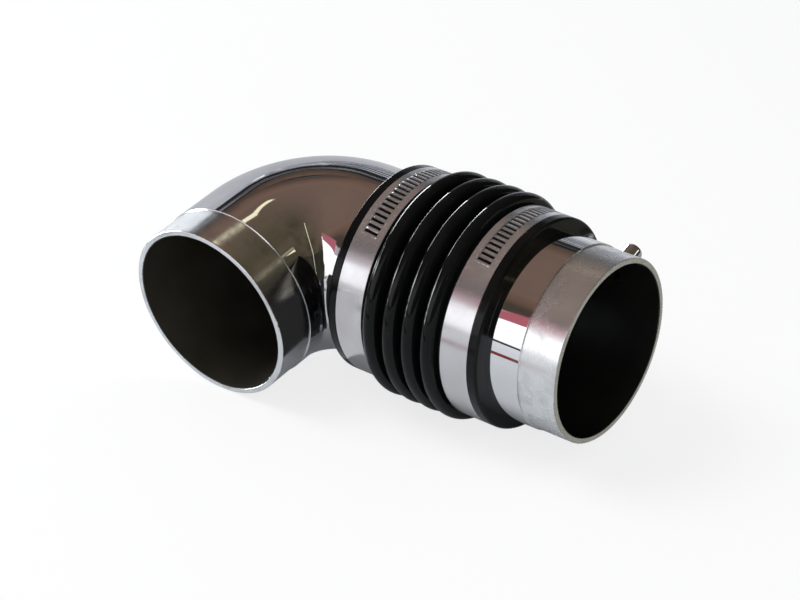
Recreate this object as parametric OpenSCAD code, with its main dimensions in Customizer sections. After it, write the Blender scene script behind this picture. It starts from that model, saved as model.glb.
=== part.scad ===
// Right-angle air intake tube: a plated elbow and a plated end tube joined by a
// rubber bellows hose, with a worm-drive band clamp round each end of the hose.
// The part lies on the bellows and on the rim of the elbow's mouth. The origin is the
// centre of the end tube's mouth and +X runs out of it.

/* [Tubes] */
// Outside diameter of the plated tubes under the hose
body_od = 77.2; // [77.2:0.2:78.0]
// Wall thickness of the plated tubes
wall = 2.5; // [2:0.1:3]
// Radius of the rounding on both edges of each mouth
rim_round = 0.4; // [0.2:0.1:0.8]

/* [Elbow] */
// Distance from the hose axis to the inlet mouth
inlet_reach = 64.8; // [62:0.2:70]
// Outside diameter of the inlet spigot
spigot_od = 76.2; // [75.8:0.1:76.2]
// Length of the inlet spigot, from the mouth to the shoulder
spigot_len = 17.1; // [14:0.1:18]
// Centreline radius of the outer sweep of the bend
bend_r = 28; // [24:1:34]
// Radius of the fillet in the inner corner of the bend
crotch_r = 1.5; // [1, 1.5, 3.5, 4, 5]

/* [Outlet] */
// Distance from the inlet axis to the outlet mouth
outlet_reach = 149.7; // [146:0.1:154]
// Outside diameter of the outlet collar
collar_od = 76.2; // [75.8:0.1:76.2]
// Length of the outlet collar, from the mouth to its shoulder
collar_len = 16.6; // [14:0.1:18]

/* [Hose] */
// Distance from the inlet axis to the near end of the hose
hose_start = 44.6; // [44:0.2:46]
// Length of the hose
hose_len = 72.8; // [72:0.2:74]
// Outside diameter of the lips at the hose's ends
cuff_od = 88.0; // [87.6:0.2:88.4]
// Outside diameter of the bellows ribs
rib_od = 95.2; // [93:0.2:97]
// Distance from one rib to the next
rib_pitch = 9.3; // [9.1:0.1:9.5]
// Width of one rib
rib_w = 6.4; // [6:0.1:6.8]
// Depth to which each tube goes into the hose
cuff_depth = 20; // [18:1:22]

/* [Clamps] */
// Width of the clamp band
band_w = 12.7; // [12:0.1:13]
// Thickness of the clamp band
band_t = 0.7; // [0.5:0.1:0.8]
// Distance of each clamp from the middle of the hose
clamp_offset = 25.7; // [25.4:0.1:26]
// Angle at which the inlet clamp's slots begin, from the front over the top
inlet_slot_start = 55.6; // [40:0.2:70]
// Angle at which the outlet clamp's slots begin, from the front over the top
outlet_slot_start = 63; // [40:0.2:70]
// Angle of the screw housing, from the front over the top
housing_angle = 229; // [205:1:230]
// Length of the housing along the band
housing_len = 15; // [13:0.5:16]

/* [Nipple] */
// Outside diameter of the breather nipple
nipple_od = 8; // [7:0.5:9]
// Height of the nipple's tip above the hose axis
nipple_reach = 51; // [48:0.5:56]
// Distance from the inlet axis to the nipple
nipple_x = 128.6; // [127:0.2:130]
// Angle of the nipple, from the front over the top
nipple_angle = 169; // [160:1:180]

/* [Hidden] */
$fn = 96;
eps = 0.01;

body_r = body_od / 2;
bore_r = body_r - wall;
step_overlap = 2;
spigot_r = spigot_od / 2;
collar_r = collar_od / 2;
crotch_bend_r = body_r + crotch_r;

cuff_r = cuff_od / 2;
rib_r = rib_od / 2;
rib_count = 4;
seat_depth = 0.7;
seat_r = cuff_r - seat_depth;
seat_w = band_w + 0.6;
lip_round = 1.1;
hose_mid = hose_len / 2;
first_rib = hose_mid - rib_pitch * (rib_count - 1) / 2;
valley_w = rib_pitch - rib_w;
valley_floor_r = 40.6;
end_valley_floor_r = 42;
rib_hollow_w = 2;
rib_wall = 3.4;

slot_len = 6.6;
slot_w = 1.25;
slot_pitch = 3.39;
slot_lean = -4.7;
// Slotted end of the band: leaves the ring before the housing and ends past it
tail_start = housing_angle - 24;
tail_arc = 54;
tail_rise = 9;
tail_slot_pitch = slot_pitch * seat_r / (seat_r + tail_rise);

housing_w = band_w + 2.2;
housing_wall = 0.8;
worm_r = 4.9;
worm_core_r = 3.2;
worm_bore_r = worm_r + 0.05;
strip_top_r = seat_r + band_t + tail_rise * (1 - cos(housing_angle - tail_start));
worm_z = strip_top_r + worm_r + 0.12;
collar_t = 1.2;
head_flats = 7;
head_h = 4;
driver_slot_w = 1.3;
driver_slot_depth = 2;

nipple_bore_r = 2.5;
nipple_shank_r = 3.4;
nipple_foot_r = bore_r + 0.6;
nipple_chamfer_h = 1.1;

// Roll about the hose axis at which the mouth's rim and the ribs touch one plane
rim_reach = inlet_reach - rim_round;
rim_edge_r = spigot_r - rim_round;
rest_roll = asin((rib_r - rim_round) / sqrt(rim_reach * rim_reach + rim_edge_r * rim_edge_r))
    - atan(rim_edge_r / rim_reach);

// Puts the assembly, drawn with the elbow in the XY plane, in its resting frame
module at_rest() {
    rotate([rest_roll, 0, 0]) translate([-outlet_reach, 0, 0]) children();
}

// Turns a shape drawn along Z so that it runs along X from the given distance
module along_x(x) {
    translate([x, 0, 0]) rotate([0, 90, 0]) children();
}

// Faces +Z outwards at an angle counted from the front over the top
module facing(angle) {
    rotate([90 - angle, 0, 0]) children();
}

// Quarter turn of a tube's section from the inlet leg to the outlet leg
module quarter(centre_r, r) {
    translate([centre_r, -centre_r, 0])
        rotate([0, 0, 90])
            rotate_extrude(angle = 90)
                intersection() {
                    translate([centre_r, 0]) circle(r);
                    translate([0, -r - 1]) square([centre_r + r + 1, 2 * r + 2]);
                }
}

// Solid run of the elbow, from a distance down the inlet leg to one along the outlet leg
module elbow_run(r, inlet_end, outlet_end) {
    translate([0, -bend_r, 0]) rotate([90, 0, 0]) cylinder(r = r, h = inlet_end - bend_r);
    along_x(bend_r) cylinder(r = r, h = outlet_end - bend_r);
    quarter(bend_r, r);
    quarter(crotch_bend_r, r);
}

// Ring whose far end is rounded on both edges
module rimmed_ring(outer_r, length) {
    inner_r = outer_r - wall;
    rotate_extrude() {
        translate([inner_r, 0]) square([wall, length - rim_round]);
        translate([inner_r + rim_round, 0]) square([wall - 2 * rim_round, length]);
        translate([inner_r + rim_round, length - rim_round]) circle(rim_round);
        translate([outer_r - rim_round, length - rim_round]) circle(rim_round);
    }
}

module elbow_tube() {
    shoulder_y = inlet_reach - spigot_len;
    leg_end = hose_start + cuff_depth;
    color("silver") at_rest() {
        difference() {
            elbow_run(body_r, shoulder_y, leg_end);
            elbow_run(bore_r, shoulder_y + 1, leg_end + 1);
        }
        translate([0, -shoulder_y + step_overlap, 0])
            rotate([90, 0, 0]) rimmed_ring(spigot_r, spigot_len + step_overlap);
    }
}

module outlet_tube() {
    tube_start = hose_start + hose_len - cuff_depth;
    collar_start = outlet_reach - collar_len;
    color("silver") at_rest() difference() {
        union() {
            along_x(tube_start)
                difference() {
                    cylinder(r = body_r, h = collar_start - tube_start);
                    translate([0, 0, -1]) cylinder(r = bore_r, h = collar_start - tube_start + 2);
                }
            along_x(collar_start - step_overlap)
                rimmed_ring(collar_r, collar_len + step_overlap);
        }
        translate([nipple_x, 0, 0]) facing(nipple_angle) cylinder(r = nipple_shank_r, h = cuff_r);
    }
}

module breather_nipple() {
    nipple_r = nipple_od / 2;
    color("silver") at_rest() translate([nipple_x, 0, 0]) facing(nipple_angle)
        difference() {
            union() {
                translate([0, 0, nipple_foot_r])
                    cylinder(r = nipple_shank_r, h = body_r - nipple_foot_r + eps);
                translate([0, 0, body_r])
                    cylinder(r = nipple_r, h = nipple_reach - nipple_chamfer_h - body_r);
                translate([0, 0, nipple_reach - nipple_chamfer_h])
                    cylinder(r1 = nipple_r, r2 = nipple_r - 0.5, h = nipple_chamfer_h);
            }
            translate([0, 0, nipple_foot_r - 1])
                cylinder(r = nipple_bore_r, h = nipple_reach - nipple_foot_r + 2);
        }
}

// Square-ended groove with a round floor, cut into the hose from outside
module groove(s, width, floor_r) {
    translate([floor_r + width / 2, s]) circle(width / 2);
    translate([floor_r + width / 2, s - width / 2]) square([rib_r - floor_r, width]);
}

// Half section of the hose: radius across, distance along the hose upwards
module hose_section() {
    difference() {
        union() {
            translate([body_r, 0]) square([cuff_r - lip_round - body_r, hose_len]);
            translate([body_r, lip_round])
                square([cuff_r - body_r, hose_len - 2 * lip_round]);
            translate([cuff_r - lip_round, lip_round]) circle(lip_round);
            translate([cuff_r - lip_round, hose_len - lip_round]) circle(lip_round);
            for (i = [0 : rib_count - 1]) {
                translate([rib_r - rib_w / 2, first_rib + i * rib_pitch]) circle(rib_w / 2);
                translate([body_r, first_rib + i * rib_pitch - rib_w / 2])
                    square([rib_r - rib_w / 2 - body_r, rib_w]);
            }
        }
        for (side = [-1, 1]) {
            translate([seat_r, hose_mid + side * clamp_offset - seat_w / 2])
                square([seat_depth + 1, seat_w]);
            end_w = clamp_offset - seat_w / 2 - (hose_mid - first_rib) - rib_w / 2;
            groove(hose_mid + side * (clamp_offset - seat_w / 2 - end_w / 2), end_w,
                end_valley_floor_r);
        }
        for (i = [0 : rib_count - 2])
            groove(first_rib + (i + 0.5) * rib_pitch, valley_w, valley_floor_r);
        for (i = [0 : rib_count - 1]) {
            translate([body_r - 1, first_rib + i * rib_pitch - rib_hollow_w / 2])
                square([rib_r - rib_wall - body_r + 1, rib_hollow_w]);
        }
    }
}

module bellows_hose() {
    color("dimgray") at_rest() along_x(hose_start) rotate_extrude() hose_section();
}

// One leaning slot, cut outwards through the band at an angle
module slot(angle, from_r) {
    facing(angle) translate([0, 0, from_r]) rotate([0, 0, slot_lean])
        translate([-slot_len / 2, -slot_w / 2, 0])
            cube([slot_len, slot_w, 12]);
}

// Arc of a strip between two angles counted from the front over the top
module strip_arc(inner_r, from_angle, sweep) {
    facing(from_angle) rotate([0, 0, 90]) rotate([90, 0, 0])
        rotate([0, 0, 90 - sweep])
            rotate_extrude(angle = sweep)
                translate([inner_r, -band_w / 2]) square([band_t, band_w]);
}

module clamp_band(x, slot_start) {
    ring_slots = floor((tail_start - slot_start) / slot_pitch);
    tail_slots = floor(tail_arc / tail_slot_pitch) - 1;
    color("gainsboro") at_rest() translate([x, 0, 0]) {
        difference() {
            translate([-band_w / 2, 0, 0]) rotate([0, 90, 0]) difference() {
                cylinder(r = seat_r + band_t, h = band_w);
                translate([0, 0, -1]) cylinder(r = seat_r, h = band_w + 2);
            }
            for (i = [0 : ring_slots - 1])
                slot(slot_start + i * slot_pitch, seat_r - 2);
        }
        facing(tail_start) translate([0, 0, -tail_rise]) facing(90)
            difference() {
                strip_arc(seat_r + tail_rise, 90, tail_arc);
                for (i = [1 : tail_slots])
                    slot(90 + i * tail_slot_pitch, seat_r + tail_rise - 2);
            }
    }
}

module clamp_housing(x) {
    foot_r = seat_r + band_t + 0.05;
    hollow_w = housing_w - 2 * housing_wall;
    color("gainsboro") at_rest() translate([x, 0, 0]) difference() {
        facing(housing_angle) difference() {
            translate([0, housing_len / 2, 0]) rotate([90, 0, 0]) linear_extrude(housing_len) {
                translate([0, worm_z]) circle(worm_bore_r + housing_wall);
                polygon([
                    [-housing_w / 2, foot_r - 3], [housing_w / 2, foot_r - 3],
                    [housing_w / 2, worm_z - 3], [worm_bore_r + housing_wall, worm_z],
                    [-worm_bore_r - housing_wall, worm_z], [-housing_w / 2, worm_z - 3]
                ]);
            }
            translate([0, housing_len / 2 + 1, 0]) rotate([90, 0, 0])
                linear_extrude(housing_len + 2) {
                    translate([0, worm_z]) circle(worm_bore_r);
                    polygon([
                        [-hollow_w / 2, foot_r - 4], [hollow_w / 2, foot_r - 4],
                        [hollow_w / 2, worm_z - 3.3], [worm_bore_r, worm_z],
                        [-worm_bore_r, worm_z], [-hollow_w / 2, worm_z - 3.3]
                    ]);
                }
        }
        translate([-housing_w, 0, 0]) rotate([0, 90, 0])
            cylinder(r = foot_r, h = 2 * housing_w);
        facing(tail_start) translate([-band_w / 2 - 0.1, 0, -tail_rise]) rotate([0, 90, 0])
            cylinder(r = seat_r + band_t + tail_rise + 0.05, h = band_w + 0.2);
    }
}

module clamp_screw(x) {
    barrel_len = housing_len - 1;
    color("lightgray") at_rest() translate([x, 0, 0]) facing(housing_angle)
        translate([0, housing_len / 2, worm_z]) rotate([90, 0, 0]) {
            cylinder(r = worm_core_r, h = barrel_len);
            translate([0, 0, -collar_t]) cylinder(r = worm_r, h = collar_t + eps);
            translate([0, 0, barrel_len - collar_t]) cylinder(r = worm_r, h = collar_t);
            translate([0, 0, -collar_t - head_h]) difference() {
                cylinder(r = head_flats / 2 / cos(30), h = head_h + eps, $fn = 6);
                translate([-driver_slot_w / 2, -head_flats, -1])
                    cube([driver_slot_w, 2 * head_flats, driver_slot_depth + 1]);
            }
        }
}

inlet_clamp_x = hose_start + hose_mid - clamp_offset;
outlet_clamp_x = hose_start + hose_mid + clamp_offset;

module inlet_clamp_band() { clamp_band(inlet_clamp_x, inlet_slot_start); }
module inlet_clamp_housing() { clamp_housing(inlet_clamp_x); }
module inlet_clamp_screw() { clamp_screw(inlet_clamp_x); }
module outlet_clamp_band() { clamp_band(outlet_clamp_x, outlet_slot_start); }
module outlet_clamp_housing() { clamp_housing(outlet_clamp_x); }
module outlet_clamp_screw() { clamp_screw(outlet_clamp_x); }

elbow_tube();
outlet_tube();
breather_nipple();
bellows_hose();
inlet_clamp_band();
inlet_clamp_housing();
inlet_clamp_screw();
outlet_clamp_band();
outlet_clamp_housing();
outlet_clamp_screw();
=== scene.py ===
import math

import bpy
from mathutils import Matrix, Vector


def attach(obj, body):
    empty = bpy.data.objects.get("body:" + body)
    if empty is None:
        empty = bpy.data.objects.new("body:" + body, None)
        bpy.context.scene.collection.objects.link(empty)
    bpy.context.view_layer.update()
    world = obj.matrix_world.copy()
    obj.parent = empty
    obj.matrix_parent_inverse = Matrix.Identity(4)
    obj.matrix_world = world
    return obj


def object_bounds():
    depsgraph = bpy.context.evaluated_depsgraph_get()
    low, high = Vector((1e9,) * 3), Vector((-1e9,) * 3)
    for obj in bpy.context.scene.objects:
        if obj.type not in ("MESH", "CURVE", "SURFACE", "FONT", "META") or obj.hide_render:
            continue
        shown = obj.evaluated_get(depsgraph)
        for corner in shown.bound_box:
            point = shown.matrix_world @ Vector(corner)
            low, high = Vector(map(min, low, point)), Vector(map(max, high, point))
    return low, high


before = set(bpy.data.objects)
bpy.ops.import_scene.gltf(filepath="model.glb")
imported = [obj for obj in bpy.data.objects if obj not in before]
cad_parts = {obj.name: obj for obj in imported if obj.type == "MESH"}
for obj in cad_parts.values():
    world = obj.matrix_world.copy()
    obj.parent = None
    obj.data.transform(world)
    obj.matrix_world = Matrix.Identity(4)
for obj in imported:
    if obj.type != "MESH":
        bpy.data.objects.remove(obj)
cad_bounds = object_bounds()

MM = 0.001

# Driving dimensions of the part, in millimetres and degrees, as the solids have them
INLET_REACH = 64.8
SPIGOT_R = 38.1
SPIGOT_LEN = 17.1
BODY_R = 38.6
RIM_ROUND = 0.4
BEND_R = 28.0
OUTLET_REACH = 149.7
COLLAR_LEN = 16.6
HOSE_START = 44.6
HOSE_LEN = 72.8
SEAT_R = 43.3
RIB_R = 47.6
CLAMP_OFFSET = 25.7
NIPPLE_X = 128.6
NIPPLE_ANGLE = 169.0
NIPPLE_SHANK_R = 3.4
BAND_T = 0.7
SLOT_PITCH = 3.39
SLOT_LEN = 6.6
SLOT_LEAN = 4.7
INLET_SLOT_START = 55.6
OUTLET_SLOT_START = 63.0
HOUSING_ANGLE = 229.0
HOUSING_LEN = 15.0
TAIL_LEAD = 24.0
TAIL_RISE = 9.0
WORM_R = 4.9
WORM_CORE_R = 3.2
WORM_GAP = 0.12
SCREW_COLLAR_LEN = 1.2
BARREL_LEN = HOUSING_LEN - 1.0

# Roll about the hose axis in which the rim of the inlet and the ribs touch the floor
RIM_REACH = INLET_REACH - RIM_ROUND
RIM_EDGE_R = SPIGOT_R - RIM_ROUND
REST_ROLL = (math.asin((RIB_R - RIM_ROUND) / math.hypot(RIM_REACH, RIM_EDGE_R))
             - math.atan2(RIM_EDGE_R, RIM_REACH))
# From the source's frame, with the elbow's corner at the origin, to the row frame
TO_ROW = Matrix.Rotation(REST_ROLL, 4, "X") @ Matrix.Translation((-OUTLET_REACH * MM, 0, 0))

# Places along the hose axis in the row frame
HOSE_MIDDLE = HOSE_START + HOSE_LEN / 2 - OUTLET_REACH
INLET_CLAMP_X = HOSE_MIDDLE - CLAMP_OFFSET
OUTLET_CLAMP_X = HOSE_MIDDLE + CLAMP_OFFSET
INLET_LIP_X = HOSE_START - OUTLET_REACH

# Where the materials change, in millimetres: a ragged line from mirror to satin plate, and
# the distance from the hose's middle at which its duller cuffs start
SATIN_RAGGED = 2.4
SATIN_FADE = (0.9, 1.6)
CUFF_FADE = (17.0, 18.5)

# Relief that the band's material adds: the lands between the slots and the brush strokes.
# The lands fade at the slots' ends, in millimetres, and before the first slot, in slots
LAND_RISE = 0.72
LAND_FADE = (-0.9, 0.3)
LAND_START = (-0.6, -0.5)
STROKE_DEPTH = 0.003

# Thread of the worms: half its width at the foot and at the crest, and how the section sits
THREAD_HALF_FOOT = 0.8
THREAD_HALF_CREST = 0.3
THREAD_SUNK = 0.3
THREAD_GAP = 0.15
THREAD_STEPS_A_TURN = 28
WORM_AXIS_R = SEAT_R + BAND_T + TAIL_RISE * (1 - math.cos(math.radians(TAIL_LEAD))) + WORM_R + WORM_GAP

# A face looks inwards, or stands across the wall, by the cosine of its angle to the way out
LOOKS_INWARDS = -0.3
STANDS_ACROSS = 0.5
# Slack in millimetres when a face's place is set against a radius of the part
AXIS_SLACK = 1.0
SKIN_SLACK = 0.3
HOLE_SLACK = 0.5

# Camera: its place in millimetres in the row frame and its angles in degrees, azimuth 0 at -Y
CAMERA_PLACE = (430.71, -711.40, 487.63)
CAMERA_AZIMUTH = 36.8275
CAMERA_ELEVATION = 29.4545
CAMERA_ROLL = 1.5853
CAMERA_LENS = 111.756
SENSOR_WIDTH = 36.0

# Studio, in metres: its middle on the hose axis, the floor, the paper and the cards' spheres
STUDIO_MIDDLE = Vector((-0.08, 0.0, 0.0))
FLOOR_HALF = 6.0
PAPER_RADIUS = 0.9
PAPER_SIDES = 48
PAPER_HEIGHT = 0.05 * MM
FLOOR_CARD_HEIGHT = 0.1 * MM
CEILING_RADIUS = 1.6
CARD_RADIUS = 1.5
# How much of the floor's look is its own white, the rest being what the lamps give it
FLOOR_WHITE_SHARE = 0.78


class Nodes:
    """Short calls to build one material's node tree."""

    def __init__(self, name):
        self.material = bpy.data.materials.new(name)
        self.material.use_nodes = True
        self.tree = self.material.node_tree
        self.shader = self.tree.nodes["Principled BSDF"]

    def add(self, kind, **values):
        node = self.tree.nodes.new(kind)
        for key, value in values.items():
            setattr(node, key, value)
        return node

    def link(self, source, target):
        self.tree.links.new(source, target)

    def vary(self, socket, source):
        """Drives one of the shader's sockets, so that it changes over the surface."""
        self.link(source, self.shader.inputs[socket])

    def even(self, socket, value):
        """Sets one of the shader's sockets to the same value all over."""
        self.shader.inputs[socket].default_value = value

    def show(self, output):
        """Makes an output the look of the surface in place of the shader."""
        self.link(output, self.tree.nodes["Material Output"].inputs["Surface"])

    def place(self):
        """The surface's own coordinates, in metres in the row frame."""
        return self.add("ShaderNodeTexCoord").outputs["Object"]

    def stretched(self, scale):
        mapping = self.add("ShaderNodeMapping")
        mapping.inputs["Scale"].default_value = scale
        self.link(self.place(), mapping.inputs["Vector"])
        return mapping.outputs["Vector"]

    def noise(self, scale, detail, roughness, vector=None):
        node = self.add("ShaderNodeTexNoise")
        node.inputs["Scale"].default_value = scale
        node.inputs["Detail"].default_value = detail
        node.inputs["Roughness"].default_value = roughness
        self.link(vector or self.place(), node.inputs["Vector"])
        return node.outputs["Fac"]

    def ramp(self, value, *stops):
        """Colour or grey level by a value, with a straight run between the stops."""
        node = self.add("ShaderNodeValToRGB")
        elements = node.color_ramp.elements
        while len(elements) < len(stops):
            elements.new(0.5)
        for element, (position, colour) in zip(elements, stops):
            element.position = position
            element.color = (*colour, 1.0) if isinstance(colour, tuple) else (colour,) * 3 + (1.0,)
        self.link(value, node.inputs["Fac"])
        return node.outputs["Color"]

    def math(self, operation, *values):
        node = self.add("ShaderNodeMath", operation=operation)
        for socket, value in zip(node.inputs, values):
            if isinstance(value, (int, float)):
                socket.default_value = value
            else:
                self.link(value, socket)
        return node.outputs["Value"]

    def along(self, direction):
        """Distance in metres along a direction in the row frame."""
        node = self.add("ShaderNodeVectorMath", operation="DOT_PRODUCT")
        self.link(self.place(), node.inputs[0])
        node.inputs[1].default_value = direction
        return node.outputs["Value"]

    def along_hose_from(self, x):
        """Distance in metres along the hose axis from a place given in millimetres."""
        return self.math("ADD", self.along((1.0, 0.0, 0.0)), -x * MM)

    def between(self, value, low, high):
        """0 below the low value and 1 above the high one, with an even rise between them."""
        node = self.add("ShaderNodeMapRange")
        node.inputs["From Min"].default_value = low
        node.inputs["From Max"].default_value = high
        self.link(value, node.inputs["Value"])
        return node.outputs["Result"]

    def mixed(self, factor, first, second):
        node = self.add("ShaderNodeMix", data_type="RGBA")
        self.link(factor, node.inputs["Factor"])
        self.link(first, node.inputs["A"])
        self.link(second, node.inputs["B"])
        return node.outputs["Result"]

    def multiplied(self, first, second):
        """Product of two colours."""
        node = self.add("ShaderNodeMix", data_type="RGBA", blend_type="MULTIPLY")
        node.inputs["Factor"].default_value = 1.0
        self.link(first, node.inputs["A"])
        self.link(second, node.inputs["B"])
        return node.outputs["Result"]

    def bump(self, height, strength, distance, edge_radius=None):
        """Relief of the surface; an edge radius also softens the look of its sharp edges."""
        node = self.add("ShaderNodeBump")
        node.inputs["Strength"].default_value = strength
        node.inputs["Distance"].default_value = distance
        self.link(height, node.inputs["Height"])
        self.vary("Normal", node.outputs["Normal"])
        if edge_radius:
            bevel = self.add("ShaderNodeBevel", samples=6)
            bevel.inputs["Radius"].default_value = edge_radius
            self.link(bevel.outputs["Normal"], node.inputs["Normal"])


def plate_colour(mat, worn, haze, smudge):
    """Bright plate with a faint haze, blotchy where it is worn, under specks of dust."""
    mirror = mat.ramp(haze, (0.3, (0.86, 0.86, 0.87)), (0.75, (0.78, 0.78, 0.80)))
    satin = mat.ramp(smudge, (0.32, (0.87, 0.88, 0.90)), (0.5, (0.80, 0.81, 0.82)),
                     (0.7, (0.60, 0.60, 0.62)))
    dust = mat.noise(1500.0, detail=2.0, roughness=0.5)
    speck = mat.ramp(dust, (0.72, 1.0), (0.8, 0.6))
    return mat.multiplied(mat.mixed(worn, mirror, satin), speck)


def plate_material(name, outwards, satin_start, satin_rough, blotch, dulled=0.0):
    """Chrome plate: a mirror with faint waves and dust, worn to satin towards a mouth.
    The satin starts at a distance in millimetres along outwards, a direction in the row frame."""
    mat = Nodes(name)
    haze = mat.noise(55.0, detail=6.0, roughness=0.6)
    smudge = mat.noise(85.0, detail=7.0, roughness=0.7)
    ragged_edge = mat.math("ADD", mat.along(outwards), mat.math("MULTIPLY", smudge, SATIN_RAGGED * MM))
    worn = mat.between(ragged_edge, *((satin_start + fade) * MM for fade in SATIN_FADE))
    mirror = mat.ramp(haze, (0.35, 0.015), (0.8, 0.06))
    satin = mat.ramp(smudge, (0.3, satin_rough[0]), (0.7, satin_rough[1]))
    mat.vary("Roughness", mat.mixed(worn, mirror, satin))
    mat.vary("Base Color", plate_colour(mat, worn, haze, smudge))
    mat.even("Metallic", 1.0)
    if dulled:
        mat.vary("Metallic", mat.math("SUBTRACT", 1.0, mat.math("MULTIPLY", worn, dulled)))
    wave = mat.noise(22.0, detail=2.0, roughness=0.4)
    pits = mat.math("MULTIPLY", mat.math("MULTIPLY", smudge, worn), blotch)
    mat.bump(mat.math("ADD", wave, pits), strength=0.1, distance=2.0 * MM, edge_radius=0.45 * MM)
    return mat.material


def chrome_material():
    """Bright chrome for the small nipple."""
    mat = Nodes("nipple_plate")
    haze = mat.noise(200.0, detail=4.0, roughness=0.6)
    mat.even("Metallic", 1.0)
    mat.vary("Base Color", mat.ramp(haze, (0.3, (0.86, 0.86, 0.87)), (0.75, (0.76, 0.76, 0.78))))
    mat.vary("Roughness", mat.ramp(haze, (0.35, 0.05), (0.8, 0.14)))
    mat.bump(haze, strength=0.05, distance=0.5 * MM, edge_radius=0.25 * MM)
    return mat.material


def rubber_material():
    """Black moulded rubber: polished ribs, duller cuffs at both ends and fine grain."""
    mat = Nodes("black_rubber")
    patches = mat.noise(35.0, detail=5.0, roughness=0.6)
    mat.vary("Base Color", mat.ramp(patches, (0.35, (0.003, 0.0033, 0.0033)),
                                    (0.75, (0.006, 0.0065, 0.0065))))
    from_middle = mat.math("ABSOLUTE", mat.along_hose_from(HOSE_MIDDLE))
    cuff = mat.between(from_middle, *(fade * MM for fade in CUFF_FADE))
    rib_rough = mat.ramp(patches, (0.3, 0.05), (0.8, 0.10))
    cuff_rough = mat.ramp(patches, (0.3, 0.11), (0.8, 0.19))
    mat.vary("Roughness", mat.mixed(cuff, rib_rough, cuff_rough))
    mat.even("Specular IOR Level", 0.18)
    grain = mat.noise(1200.0, detail=2.0, roughness=0.5)
    mat.bump(grain, strength=0.04, distance=0.1 * MM, edge_radius=0.3 * MM)
    return mat.material


def bore_material(name, dark, light):
    """Unplated dark plastic inside the tubes, darkened further as painted shade of the bores."""
    mat = Nodes(name)
    patches = mat.noise(40.0, detail=4.0, roughness=0.6)
    mat.vary("Base Color", mat.ramp(patches, (0.3, dark), (0.75, light)))
    mat.vary("Roughness", mat.ramp(patches, (0.3, 0.3), (0.8, 0.45)))
    mat.bump(mat.noise(900.0, detail=3.0, roughness=0.5), strength=0.1, distance=0.2 * MM)
    return mat.material


def steel_base(name, low, high):
    """Rolled clamp steel with light stains, its roughness between a low and a high value."""
    mat = Nodes(name)
    patches = mat.noise(70.0, detail=4.0, roughness=0.6)
    mat.even("Metallic", 0.9)
    mat.vary("Base Color", mat.ramp(patches, (0.3, (0.72, 0.71, 0.72)), (0.8, (0.62, 0.61, 0.63))))
    mat.vary("Roughness", mat.ramp(patches, (0.3, low), (0.8, high)))
    return mat


def steel_material():
    """Clamp steel of the housings and screws, with a fine grain."""
    mat = steel_base("clamp_steel", 0.2, 0.32)
    grain = mat.noise(1500.0, detail=3.0, roughness=0.6)
    mat.bump(grain, strength=0.08, distance=0.2 * MM, edge_radius=0.2 * MM)
    return mat.material


def slot_count(mat, from_centre, slot_start):
    """Slots passed round the band from its first one, counted along the slots' lean."""
    angle = mat.math("ARCTAN2", mat.along((0.0, 0.0, 1.0)), mat.along((0.0, -1.0, 0.0)))
    lean = math.tan(math.radians(SLOT_LEAN)) / (SEAT_R * MM)
    straightened = mat.math("ADD", angle, mat.math("MULTIPLY", from_centre, lean))
    from_first = mat.math("ADD", straightened, REST_ROLL - math.radians(slot_start))
    return mat.math("MULTIPLY", from_first, 1 / math.radians(SLOT_PITCH))


def band_material(name, clamp_x, slot_start):
    """Brushed band steel whose lands between the slots stand up a little, as pressing leaves them."""
    mat = steel_base(name, 0.17, 0.25)
    from_centre = mat.along_hose_from(clamp_x)
    count = slot_count(mat, from_centre, slot_start)
    swell = mat.math("PINGPONG", count, 0.5)
    across = mat.math("ABSOLUTE", from_centre)
    outside = mat.between(across, *((SLOT_LEN / 2 + fade) * MM for fade in LAND_FADE))
    started = mat.between(count, *LAND_START)
    reach = mat.math("MULTIPLY", mat.math("SUBTRACT", 1.0, outside), started)
    lands = mat.math("MULTIPLY", mat.math("MULTIPLY", swell, reach), LAND_RISE * MM)
    brushed = mat.noise(2600.0, detail=3.0, roughness=0.6, vector=mat.stretched((1.0, 0.02, 0.02)))
    strokes = mat.math("MULTIPLY", brushed, STROKE_DEPTH * MM)
    mat.bump(mat.math("ADD", lands, strokes), strength=1.0, distance=1.0)
    return mat.material


def glow_material(mat, colour, strength=1.0):
    """Turns a material into one that only glows."""
    glow = mat.add("ShaderNodeEmission")
    glow.inputs["Strength"].default_value = strength
    mat.link(colour, glow.inputs["Color"])
    mat.show(glow.outputs["Emission"])
    return mat.material


def card_material(name, colour, other=None, scale=(1.0, 1.0, 1.0), strength=1.0):
    """Glow of a studio card; it drifts between two colours."""
    mat = Nodes(name)
    cloud = mat.noise(1.5, detail=3.0, roughness=0.5, vector=mat.stretched(scale))
    return glow_material(mat, mat.ramp(cloud, (0.35, colour), (0.65, other or colour)), strength)


def streak_material(name, *stops):
    """Card of level lines that wander and break, like shelves and cables far away."""
    mat = Nodes(name)
    lines = mat.noise(1.6, detail=3.0, roughness=0.6, vector=mat.stretched((0.5, 0.5, 9.0)))
    return glow_material(mat, mat.ramp(lines, *stops))


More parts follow.
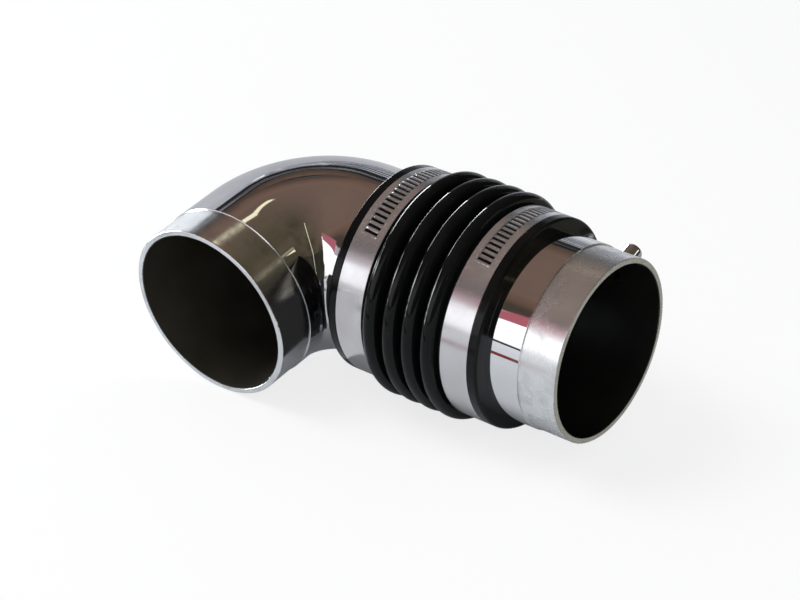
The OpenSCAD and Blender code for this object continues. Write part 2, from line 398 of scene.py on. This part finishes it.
def ceiling_material():
    """Warm brown room: darkest low down, redder on one side and olive on the other."""
    mat = Nodes("ceiling_card")
    height = mat.along((0.0, 0.0, 1 / CEILING_RADIUS))
    cloud = mat.noise(1.3, detail=3.0, roughness=0.5, vector=mat.stretched((1.0, 1.0, 3.0)))
    wander = mat.math("MULTIPLY", mat.math("ADD", cloud, -0.5), 0.12)
    warm = mat.ramp(mat.math("ADD", height, wander),
                    (0.46, (0.060, 0.052, 0.040)), (0.60, (0.075, 0.055, 0.045)),
                    (0.68, (0.15, 0.092, 0.068)), (0.76, (0.19, 0.12, 0.094)),
                    (0.79, (0.175, 0.115, 0.09)), (1.0, (0.18, 0.12, 0.095)))
    olive = mat.ramp(cloud, (0.35, (0.062, 0.052, 0.034)), (0.65, (0.105, 0.085, 0.056)))
    side = mat.between(mat.along((1 / CEILING_RADIUS, 0.5 / CEILING_RADIUS, 0.0)), -0.35, 0.25)
    return glow_material(mat, mat.mixed(side, warm, olive))


def floor_material():
    """White that takes a shadow, mixed with a glow that the camera and reflections see."""
    mat = Nodes("floor_white")
    mat.even("Base Color", (0.9, 0.9, 0.9, 1.0))
    mat.even("Roughness", 0.9)
    glow = mat.add("ShaderNodeEmission")
    mix = mat.add("ShaderNodeMixShader")
    mat.link(mat.math("MULTIPLY", shown_rays(mat.tree), FLOOR_WHITE_SHARE), mix.inputs["Fac"])
    mat.link(mat.shader.outputs["BSDF"], mix.inputs[1])
    mat.link(glow.outputs["Emission"], mix.inputs[2])
    mat.show(mix.outputs["Shader"])
    return mat.material


def paper_material():
    """Pale grey paper, a little blotchy."""
    mat = Nodes("paper_card")
    blotch = mat.noise(4.0, detail=3.0, roughness=0.5)
    mat.vary("Base Color", mat.ramp(blotch, (0.3, (0.56, 0.59, 0.62)), (0.7, (0.64, 0.66, 0.68))))
    mat.even("Roughness", 0.9)
    return mat.material


def mesh_object(name, vertices, faces, material, smooth=False):
    mesh = bpy.data.meshes.new(name)
    mesh.from_pydata(vertices, [], faces)
    mesh.update()
    obj = bpy.data.objects.new(name, mesh)
    bpy.context.scene.collection.objects.link(obj)
    mesh.materials.append(material)
    for polygon in mesh.polygons:
        polygon.use_smooth = smooth
    return obj


def run_centre(point):
    """Nearest point to one of the source frame's points on the middle line of the tubes."""
    if point.x > BEND_R:
        return Vector((point.x, 0, 0))
    if point.y < -BEND_R:
        return Vector((0, point.y, 0))
    turn = math.atan2(point.y + BEND_R, BEND_R - point.x)
    return Vector((BEND_R - BEND_R * math.cos(turn), -BEND_R + BEND_R * math.sin(turn), 0))


def inside_tube(centre, normal):
    """True for a face of a tube's bore, or of the hole in its wall for the nipple."""
    outwards = centre - run_centre(centre)
    if not AXIS_SLACK < outwards.length < BODY_R + AXIS_SLACK:
        return False
    facing = normal.dot(outwards.normalized())
    under_skin = outwards.length < BODY_R - SKIN_SLACK
    by_nipple = abs(centre.x - NIPPLE_X) < NIPPLE_SHANK_R + HOLE_SLACK
    lines_hole = under_skin and by_nipple and abs(facing) < STANDS_ACROSS
    return facing < LOOKS_INWARDS or lines_hole


def inside_nipple(centre, normal):
    """True for a face of the nipple's bore, or of the part of it that sits in the tube's wall."""
    angle = math.radians(NIPPLE_ANGLE)
    axis = Vector((0, -math.cos(angle), math.sin(angle)))
    from_hose_axis = centre - Vector((NIPPLE_X, 0, 0))
    height = from_hose_axis.dot(axis)
    sideways = from_hose_axis - axis * height
    return height < BODY_R - SKIN_SLACK or normal.dot(sideways) < LOOKS_INWARDS * sideways.length


def darken(node_name, material, is_inside):
    """Gives the faces of a CAD node that is_inside picks the bore's material.
    It is asked with each face's centre, in millimetres, and normal in the source's frame."""
    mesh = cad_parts[node_name].data
    mesh.materials.append(material)
    to_source = TO_ROW.inverted()
    turn = to_source.to_3x3()
    for polygon in mesh.polygons:
        if is_inside(to_source @ polygon.center / MM, turn @ polygon.normal):
            polygon.material_index = 1


def set_camera():
    """Camera that stands and looks as the photograph's did."""
    data = bpy.data.cameras.new("camera")
    data.lens = CAMERA_LENS
    data.sensor_width = SENSOR_WIDTH
    data.clip_start = 0.01
    data.clip_end = 100.0
    camera = bpy.data.objects.new("camera", data)
    bpy.context.scene.collection.objects.link(camera)
    camera.matrix_world = (Matrix.Translation(Vector(CAMERA_PLACE) * MM)
                           @ Matrix.Rotation(math.radians(CAMERA_AZIMUTH), 4, "Z")
                           @ Matrix.Rotation(math.radians(90.0 - CAMERA_ELEVATION), 4, "X")
                           @ Matrix.Rotation(math.radians(CAMERA_ROLL), 4, "Z"))
    bpy.context.scene.camera = camera


def shown_rays(tree):
    """1 for camera, glossy and transmission rays, which all see the white background."""
    path = tree.nodes.new("ShaderNodeLightPath")
    first = tree.nodes.new("ShaderNodeMath")
    first.operation = "ADD"
    tree.links.new(path.outputs["Is Camera Ray"], first.inputs[0])
    tree.links.new(path.outputs["Is Glossy Ray"], first.inputs[1])
    second = tree.nodes.new("ShaderNodeMath")
    second.operation = "ADD"
    second.use_clamp = True
    tree.links.new(first.outputs["Value"], second.inputs[0])
    tree.links.new(path.outputs["Is Transmission Ray"], second.inputs[1])
    return second.outputs["Value"]


def background(tree, colour, strength):
    node = tree.nodes.new("ShaderNodeBackground")
    node.inputs["Color"].default_value = (*colour, 1.0)
    node.inputs["Strength"].default_value = strength
    return node.outputs["Background"]


def set_world():
    """White for the camera and in reflections, and a soft even light for the rest."""
    world = bpy.data.worlds.new("studio")
    bpy.context.scene.world = world
    world.use_nodes = True
    tree = world.node_tree
    tree.nodes.clear()
    mix = tree.nodes.new("ShaderNodeMixShader")
    tree.links.new(shown_rays(tree), mix.inputs["Fac"])
    tree.links.new(background(tree, (0.95, 0.97, 1.0), 0.45), mix.inputs[1])
    tree.links.new(background(tree, (1.0, 1.0, 1.0), 1.0), mix.inputs[2])
    output = tree.nodes.new("ShaderNodeOutputWorld")
    tree.links.new(mix.outputs["Shader"], output.inputs["Surface"])


def area_lamp(name, place, size, power):
    """Square lamp, aimed at the part, that lights it and shows in no reflection."""
    data = bpy.data.lights.new(name, "AREA")
    data.shape = "SQUARE"
    data.size = size
    data.energy = power
    lamp = bpy.data.objects.new(name, data)
    bpy.context.scene.collection.objects.link(lamp)
    lamp.location = place
    lamp.rotation_mode = "QUATERNION"
    lamp.rotation_quaternion = (STUDIO_MIDDLE - Vector(place)).to_track_quat("-Z", "Y")
    lamp.visible_glossy = False


def rectangle(first, second):
    """Corners of a rectangle, in order round it, from its two ranges."""
    return [(first[0], second[0]), (first[1], second[0]), (first[1], second[1]), (first[0], second[1])]


def floor():
    """White floor under the part, which keeps the part's soft shadow."""
    reach = (-FLOOR_HALF, FLOOR_HALF)
    corners = [(x, y, cad_bounds[0].z) for x, y in rectangle(reach, reach)]
    mesh_object("floor", corners, [(0, 1, 2, 3)], floor_material())


def show_only_in_reflections(card):
    card.visible_camera = False
    card.visible_diffuse = False
    card.visible_shadow = False
    card.visible_transmission = False


def patch_card(name, material, corners, radius=CARD_RADIUS, steps=24):
    """Patch of a sphere round the part, seen only in reflections; a nearer one hides a farther one.
    Each corner is an azimuth, 0 at -Y and 90 at +X, and an angle above the horizon, in order round it."""
    low_left, low_right, high_right, high_left = (Vector(corner) for corner in corners)
    vertices = []
    for row in range(steps + 1):
        left = low_left.lerp(high_left, row / steps)
        right = low_right.lerp(high_right, row / steps)
        for column in range(steps + 1):
            turn, height = (math.radians(angle) for angle in left.lerp(right, column / steps))
            way = Vector((math.cos(height) * math.sin(turn), -math.cos(height) * math.cos(turn),
                          math.sin(height)))
            vertices.append(STUDIO_MIDDLE + radius * way)
    line = steps + 1
    faces = [(r * line + c, r * line + c + 1, (r + 1) * line + c + 1, (r + 1) * line + c)
             for r in range(steps) for c in range(steps)]
    show_only_in_reflections(mesh_object(name, vertices, faces, material, smooth=True))


def reflection_card(name, material, azimuths, heights, radius=CARD_RADIUS, steps=24):
    """Patch between two azimuths and two heights."""
    patch_card(name, material, rectangle(azimuths, heights), radius, steps)


def flat_card(name, material, corners):
    """Flat card close to the part, seen only in reflections; its corners are in millimetres."""
    corners = [Vector(corner) * MM for corner in corners]
    show_only_in_reflections(mesh_object(name, corners, [(0, 1, 2, 3)], material))


def paper_card():
    """Round paper just over the floor, seen only in reflections, with the part's shadow on it."""
    level = cad_bounds[0].z + PAPER_HEIGHT
    turns = [math.tau * side / PAPER_SIDES for side in range(PAPER_SIDES)]
    ring = [(STUDIO_MIDDLE.x + PAPER_RADIUS * math.cos(turn), PAPER_RADIUS * math.sin(turn), level)
            for turn in turns]
    card = mesh_object("paper_card", ring, [tuple(range(PAPER_SIDES))], paper_material())
    show_only_in_reflections(card)


def screw_place(clamp_x):
    """Puts a screw, drawn along Z from the start of its barrel, where its clamp holds it."""
    return (Matrix.Rotation(REST_ROLL, 4, "X")
            @ Matrix.Translation((clamp_x * MM, 0, 0))
            @ Matrix.Rotation(math.radians(90.0 - HOUSING_ANGLE), 4, "X")
            @ Matrix.Translation((0, HOUSING_LEN / 2 * MM, WORM_AXIS_R * MM))
            @ Matrix.Rotation(math.radians(90.0), 4, "X"))


def swept_faces(rings, size):
    """Faces of a rod through rings of points, each of the given size, with its two ends."""
    faces = [(r * size + k, r * size + (k + 1) % size, (r + 1) * size + (k + 1) % size, (r + 1) * size + k)
             for r in range(rings - 1) for k in range(size)]
    faces.append(tuple(reversed(range(size))))
    faces.append(tuple((rings - 1) * size + k for k in range(size)))
    return faces


def worm_thread(name, clamp_x, material):
    """Worm of one clamp screw: a helix between the screw's two end collars."""
    foot_r = WORM_CORE_R - THREAD_SUNK
    crest_r = WORM_R - THREAD_GAP
    section = [(foot_r, -THREAD_HALF_FOOT), (crest_r, -THREAD_HALF_CREST),
               (crest_r, THREAD_HALF_CREST), (foot_r, THREAD_HALF_FOOT)]
    start = THREAD_HALF_FOOT
    end = BARREL_LEN - SCREW_COLLAR_LEN - THREAD_HALF_FOOT
    turns = (end - start) / (SEAT_R * math.radians(SLOT_PITCH))
    steps = round(turns * THREAD_STEPS_A_TURN)
    place = screw_place(clamp_x)
    vertices = []
    for step in range(steps + 1):
        turn = math.tau * step / THREAD_STEPS_A_TURN
        middle = start + (end - start) * step / steps
        for radius, offset in section:
            point = Vector((radius * math.cos(turn), radius * math.sin(turn), middle + offset))
            vertices.append(place @ (point * MM))
    thread = mesh_object(name, vertices, swept_faces(steps + 1, len(section)), material)
    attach(thread, "root")


set_camera()
set_world()
bpy.context.scene.view_settings.view_transform = "Standard"
floor()
area_lamp("key_lamp", (-0.9, -0.6, 1.4), size=0.9, power=18.0)
area_lamp("fill_lamp", (1.2, -0.9, 0.9), size=1.2, power=8.0)

# Glows of the cards
olive = card_material("olive_card", (0.05, 0.046, 0.034), (0.025, 0.024, 0.018))
dark = card_material("dark_card", (0.03, 0.03, 0.032), (0.012, 0.012, 0.012))
shade = card_material("shade_card", (0.55, 0.56, 0.58), (0.62, 0.63, 0.64), (30.0, 30.0, 30.0))
beige = card_material("beige_card", (0.33, 0.32, 0.27), (0.26, 0.25, 0.21), (4.0, 4.0, 4.0))
pale = card_material("pale_card", (0.42, 0.43, 0.46), (0.66, 0.68, 0.72), (1.0, 1.0, 2.5))
red = card_material("red_card", (0.52, 0.12, 0.16), (0.40, 0.16, 0.18), (8.0, 8.0, 3.0))
lilac = card_material("lilac_card", (0.30, 0.24, 0.27), (0.55, 0.50, 0.54), (3.0, 3.0, 3.0))
strip = card_material("strip_card", (0.16, 0.12, 0.09), (0.22, 0.035, 0.04), (14.0, 14.0, 2.0))
window = card_material("window_card", (1.0, 1.0, 1.0), (0.94, 0.96, 1.0), strength=1.5)
sun = card_material("bright_window_card", (0.92, 0.97, 1.0), strength=25.0)
lamp_tube = card_material("tube_card", (1.0, 0.93, 0.66), strength=1.1)
faint_tube = card_material("faint_tube_card", (1.0, 0.93, 0.66), strength=0.3)
pale_lines = streak_material(
    "pale_lines_card", (0.38, (0.04, 0.04, 0.05)), (0.43, (0.60, 0.62, 0.68)),
    (0.47, (0.08, 0.08, 0.09)), (0.51, (0.80, 0.84, 0.92)), (0.545, (0.04, 0.04, 0.05)),
    (0.59, (0.45, 0.45, 0.48)), (0.64, (0.05, 0.04, 0.04)))
dark_lines = streak_material(
    "dark_lines_card", (0.34, (0.30, 0.30, 0.33)), (0.39, (0.015, 0.015, 0.016)),
    (0.56, (0.03, 0.028, 0.028)), (0.60, (0.42, 0.44, 0.50)), (0.64, (0.05, 0.04, 0.04)))

# Room that the plate mirrors: its ceiling, walls, shelves and windows
reflection_card("ceiling_card", ceiling_material(), (-180, 180), (20, 90), CEILING_RADIUS, steps=48)
reflection_card("right_card", olive, (8, 178), (-3, 34), radius=1.57)
reflection_card("left_card", olive, (-104, -58), (-1, 26), radius=1.58)
reflection_card("back_pale_card", pale, (-184, -100), (-3, 19), radius=1.56)
reflection_card("back_lines_card", pale_lines, (-184, -130), (12, 27), radius=1.54)
reflection_card("left_lines_card", pale_lines, (-130, -104), (20, 27), radius=1.53)
reflection_card("back_shelf_card", dark_lines, (-184, -104), (26, 36), radius=1.52)
reflection_card("back_window_card", window, (-127, -121), (17, 23))
patch_card("front_window_card", window, [(-60, 0), (-5, 0), (-5, 38), (-60, 2)])
patch_card("corner_window_card", window, [(-5, 0), (14, 20), (14, 50), (-5, 38)])
patch_card("red_card", red, [(-31, 22), (12, 45), (12, 54), (-31, 34)], radius=1.46)
patch_card("lilac_card", lilac, [(-50, 9), (-16, 31), (-16, 41), (-50, 18)], radius=1.47)
flat_card("near_red_card", red, [(-75, -101, 48), (-66, -115, 57), (-66, -110, 77), (-75, -97, 64)])

# Bright cards that make the highlights on the ribs
reflection_card("bright_window_card", sun, (-130, -95), (-3, 17), radius=1.46)
reflection_card("side_window_card", sun, (-84, -60), (-2, 16), radius=1.46)
reflection_card("side_paper_card", sun, (-66, -52), (-9.5, -1), radius=0.28)
reflection_card("bright_paper_card", sun, (-110, -101), (-11, -5), radius=0.28)

# Table and floor as the lower half of the part mirrors them
reflection_card("table_edge_card", dark, (-50, 8), (-2.8, -0.8), radius=1.0)
patch_card("strip_card", strip, [(-60, -12), (0, -17.5), (0, -10.5), (-60, -10.5)], radius=0.2)
paper_card()
over_floor = (cad_bounds[0].z + FLOOR_CARD_HEIGHT) / MM
flat_card("back_floor_card", beige, [(x, y, over_floor) for x, y in rectangle((4, 700), (-60, 900))])

# Cards close to the part: left of the elbow, at the hose's first lip and behind the nipple
LEFT_FLAG_X = -207
LIP_CORNERS = [(-44.6, 8), (-34, -30), (-50, -46), (-66, 8)]
flat_card("left_flag_card", pale, [(LEFT_FLAG_X, y, z) for y, z in rectangle((-76, 170), (-46, 60))])
for card_name, glow, gap in (("lip_dark_card", dark, 0.7), ("lip_pale_card", shade, 1.1)):
    flat_card(card_name, glow, [(INLET_LIP_X + gap, y, z) for y, z in LIP_CORNERS])
flat_card("nipple_line_card", window, [(66, 112, 69), (60, 107, 83), (60, 51, 62), (66, 56, 48)])

# Thin lines: dark ones across the back wall and the ceiling's lamp tubes
LINE_COUNT = 5
LINE_START = 9.5
LINE_SPACING = 3.4
for step in range(LINE_COUNT):
    low = LINE_START + LINE_SPACING * step
    line_corners = [(-172, low), (-136, low - 0.6), (-136, low + 0.5), (-172, low + 1.3)]
    patch_card(f"back_line_card_{step}", dark, line_corners)
reflection_card("tube_card_a", lamp_tube, (-152, -134), (57, 60), radius=1.45)
reflection_card("tube_card_b", lamp_tube, (129.5, 132.5), (39, 41.5), radius=1.45)
reflection_card("tube_card_b_faint", faint_tube, (128, 133), (42.4, 44.4), radius=1.44)
reflection_card("tube_card_c", lamp_tube, (59, 61), (36, 74), radius=1.45)
patch_card("tube_card_c_low", lamp_tube, [(76, 5), (77.5, 5), (61, 36), (59, 36)], radius=1.45)

# Materials of the CAD nodes
inlet_way = (0.0, -math.cos(REST_ROLL), -math.sin(REST_ROLL))
outlet_way = (1.0, 0.0, 0.0)
steel = steel_material()
NODE_MATERIALS = {
    "elbow_tube": plate_material("elbow_plate", inlet_way, INLET_REACH - SPIGOT_LEN, (0.10, 0.22), 0.05),
    "outlet_tube": plate_material("outlet_plate", outlet_way, -COLLAR_LEN, (0.16, 0.36), 0.07, 0.06),
    "breather_nipple": chrome_material(),
    "bellows_hose": rubber_material(),
    "inlet_clamp_band": band_material("inlet_band_steel", INLET_CLAMP_X, INLET_SLOT_START),
    "inlet_clamp_housing": steel,
    "inlet_clamp_screw": steel,
    "outlet_clamp_band": band_material("outlet_band_steel", OUTLET_CLAMP_X, OUTLET_SLOT_START),
    "outlet_clamp_housing": steel,
    "outlet_clamp_screw": steel,
}
for node_name, node_material in NODE_MATERIALS.items():
    node_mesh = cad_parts[node_name].data
    node_mesh.materials.clear()
    node_mesh.materials.append(node_material)

# Bore colours are dark plastic with painted shade: the outlet's copy, also used in the nipple, is painted
# near black, the inlet's a lighter brown
inlet_bore = bore_material("inlet_bore_plastic_and_shade", (0.014, 0.013, 0.009), (0.03, 0.026, 0.019))
outlet_bore = bore_material("outlet_bore_plastic_and_shade", (0.004, 0.004, 0.004), (0.007, 0.007, 0.006))
darken("elbow_tube", inlet_bore, inside_tube)
darken("outlet_tube", outlet_bore, inside_tube)
darken("breather_nipple", outlet_bore, inside_nipple)
worm_thread("inlet_worm_thread", INLET_CLAMP_X, steel)
worm_thread("outlet_worm_thread", OUTLET_CLAMP_X, steel)
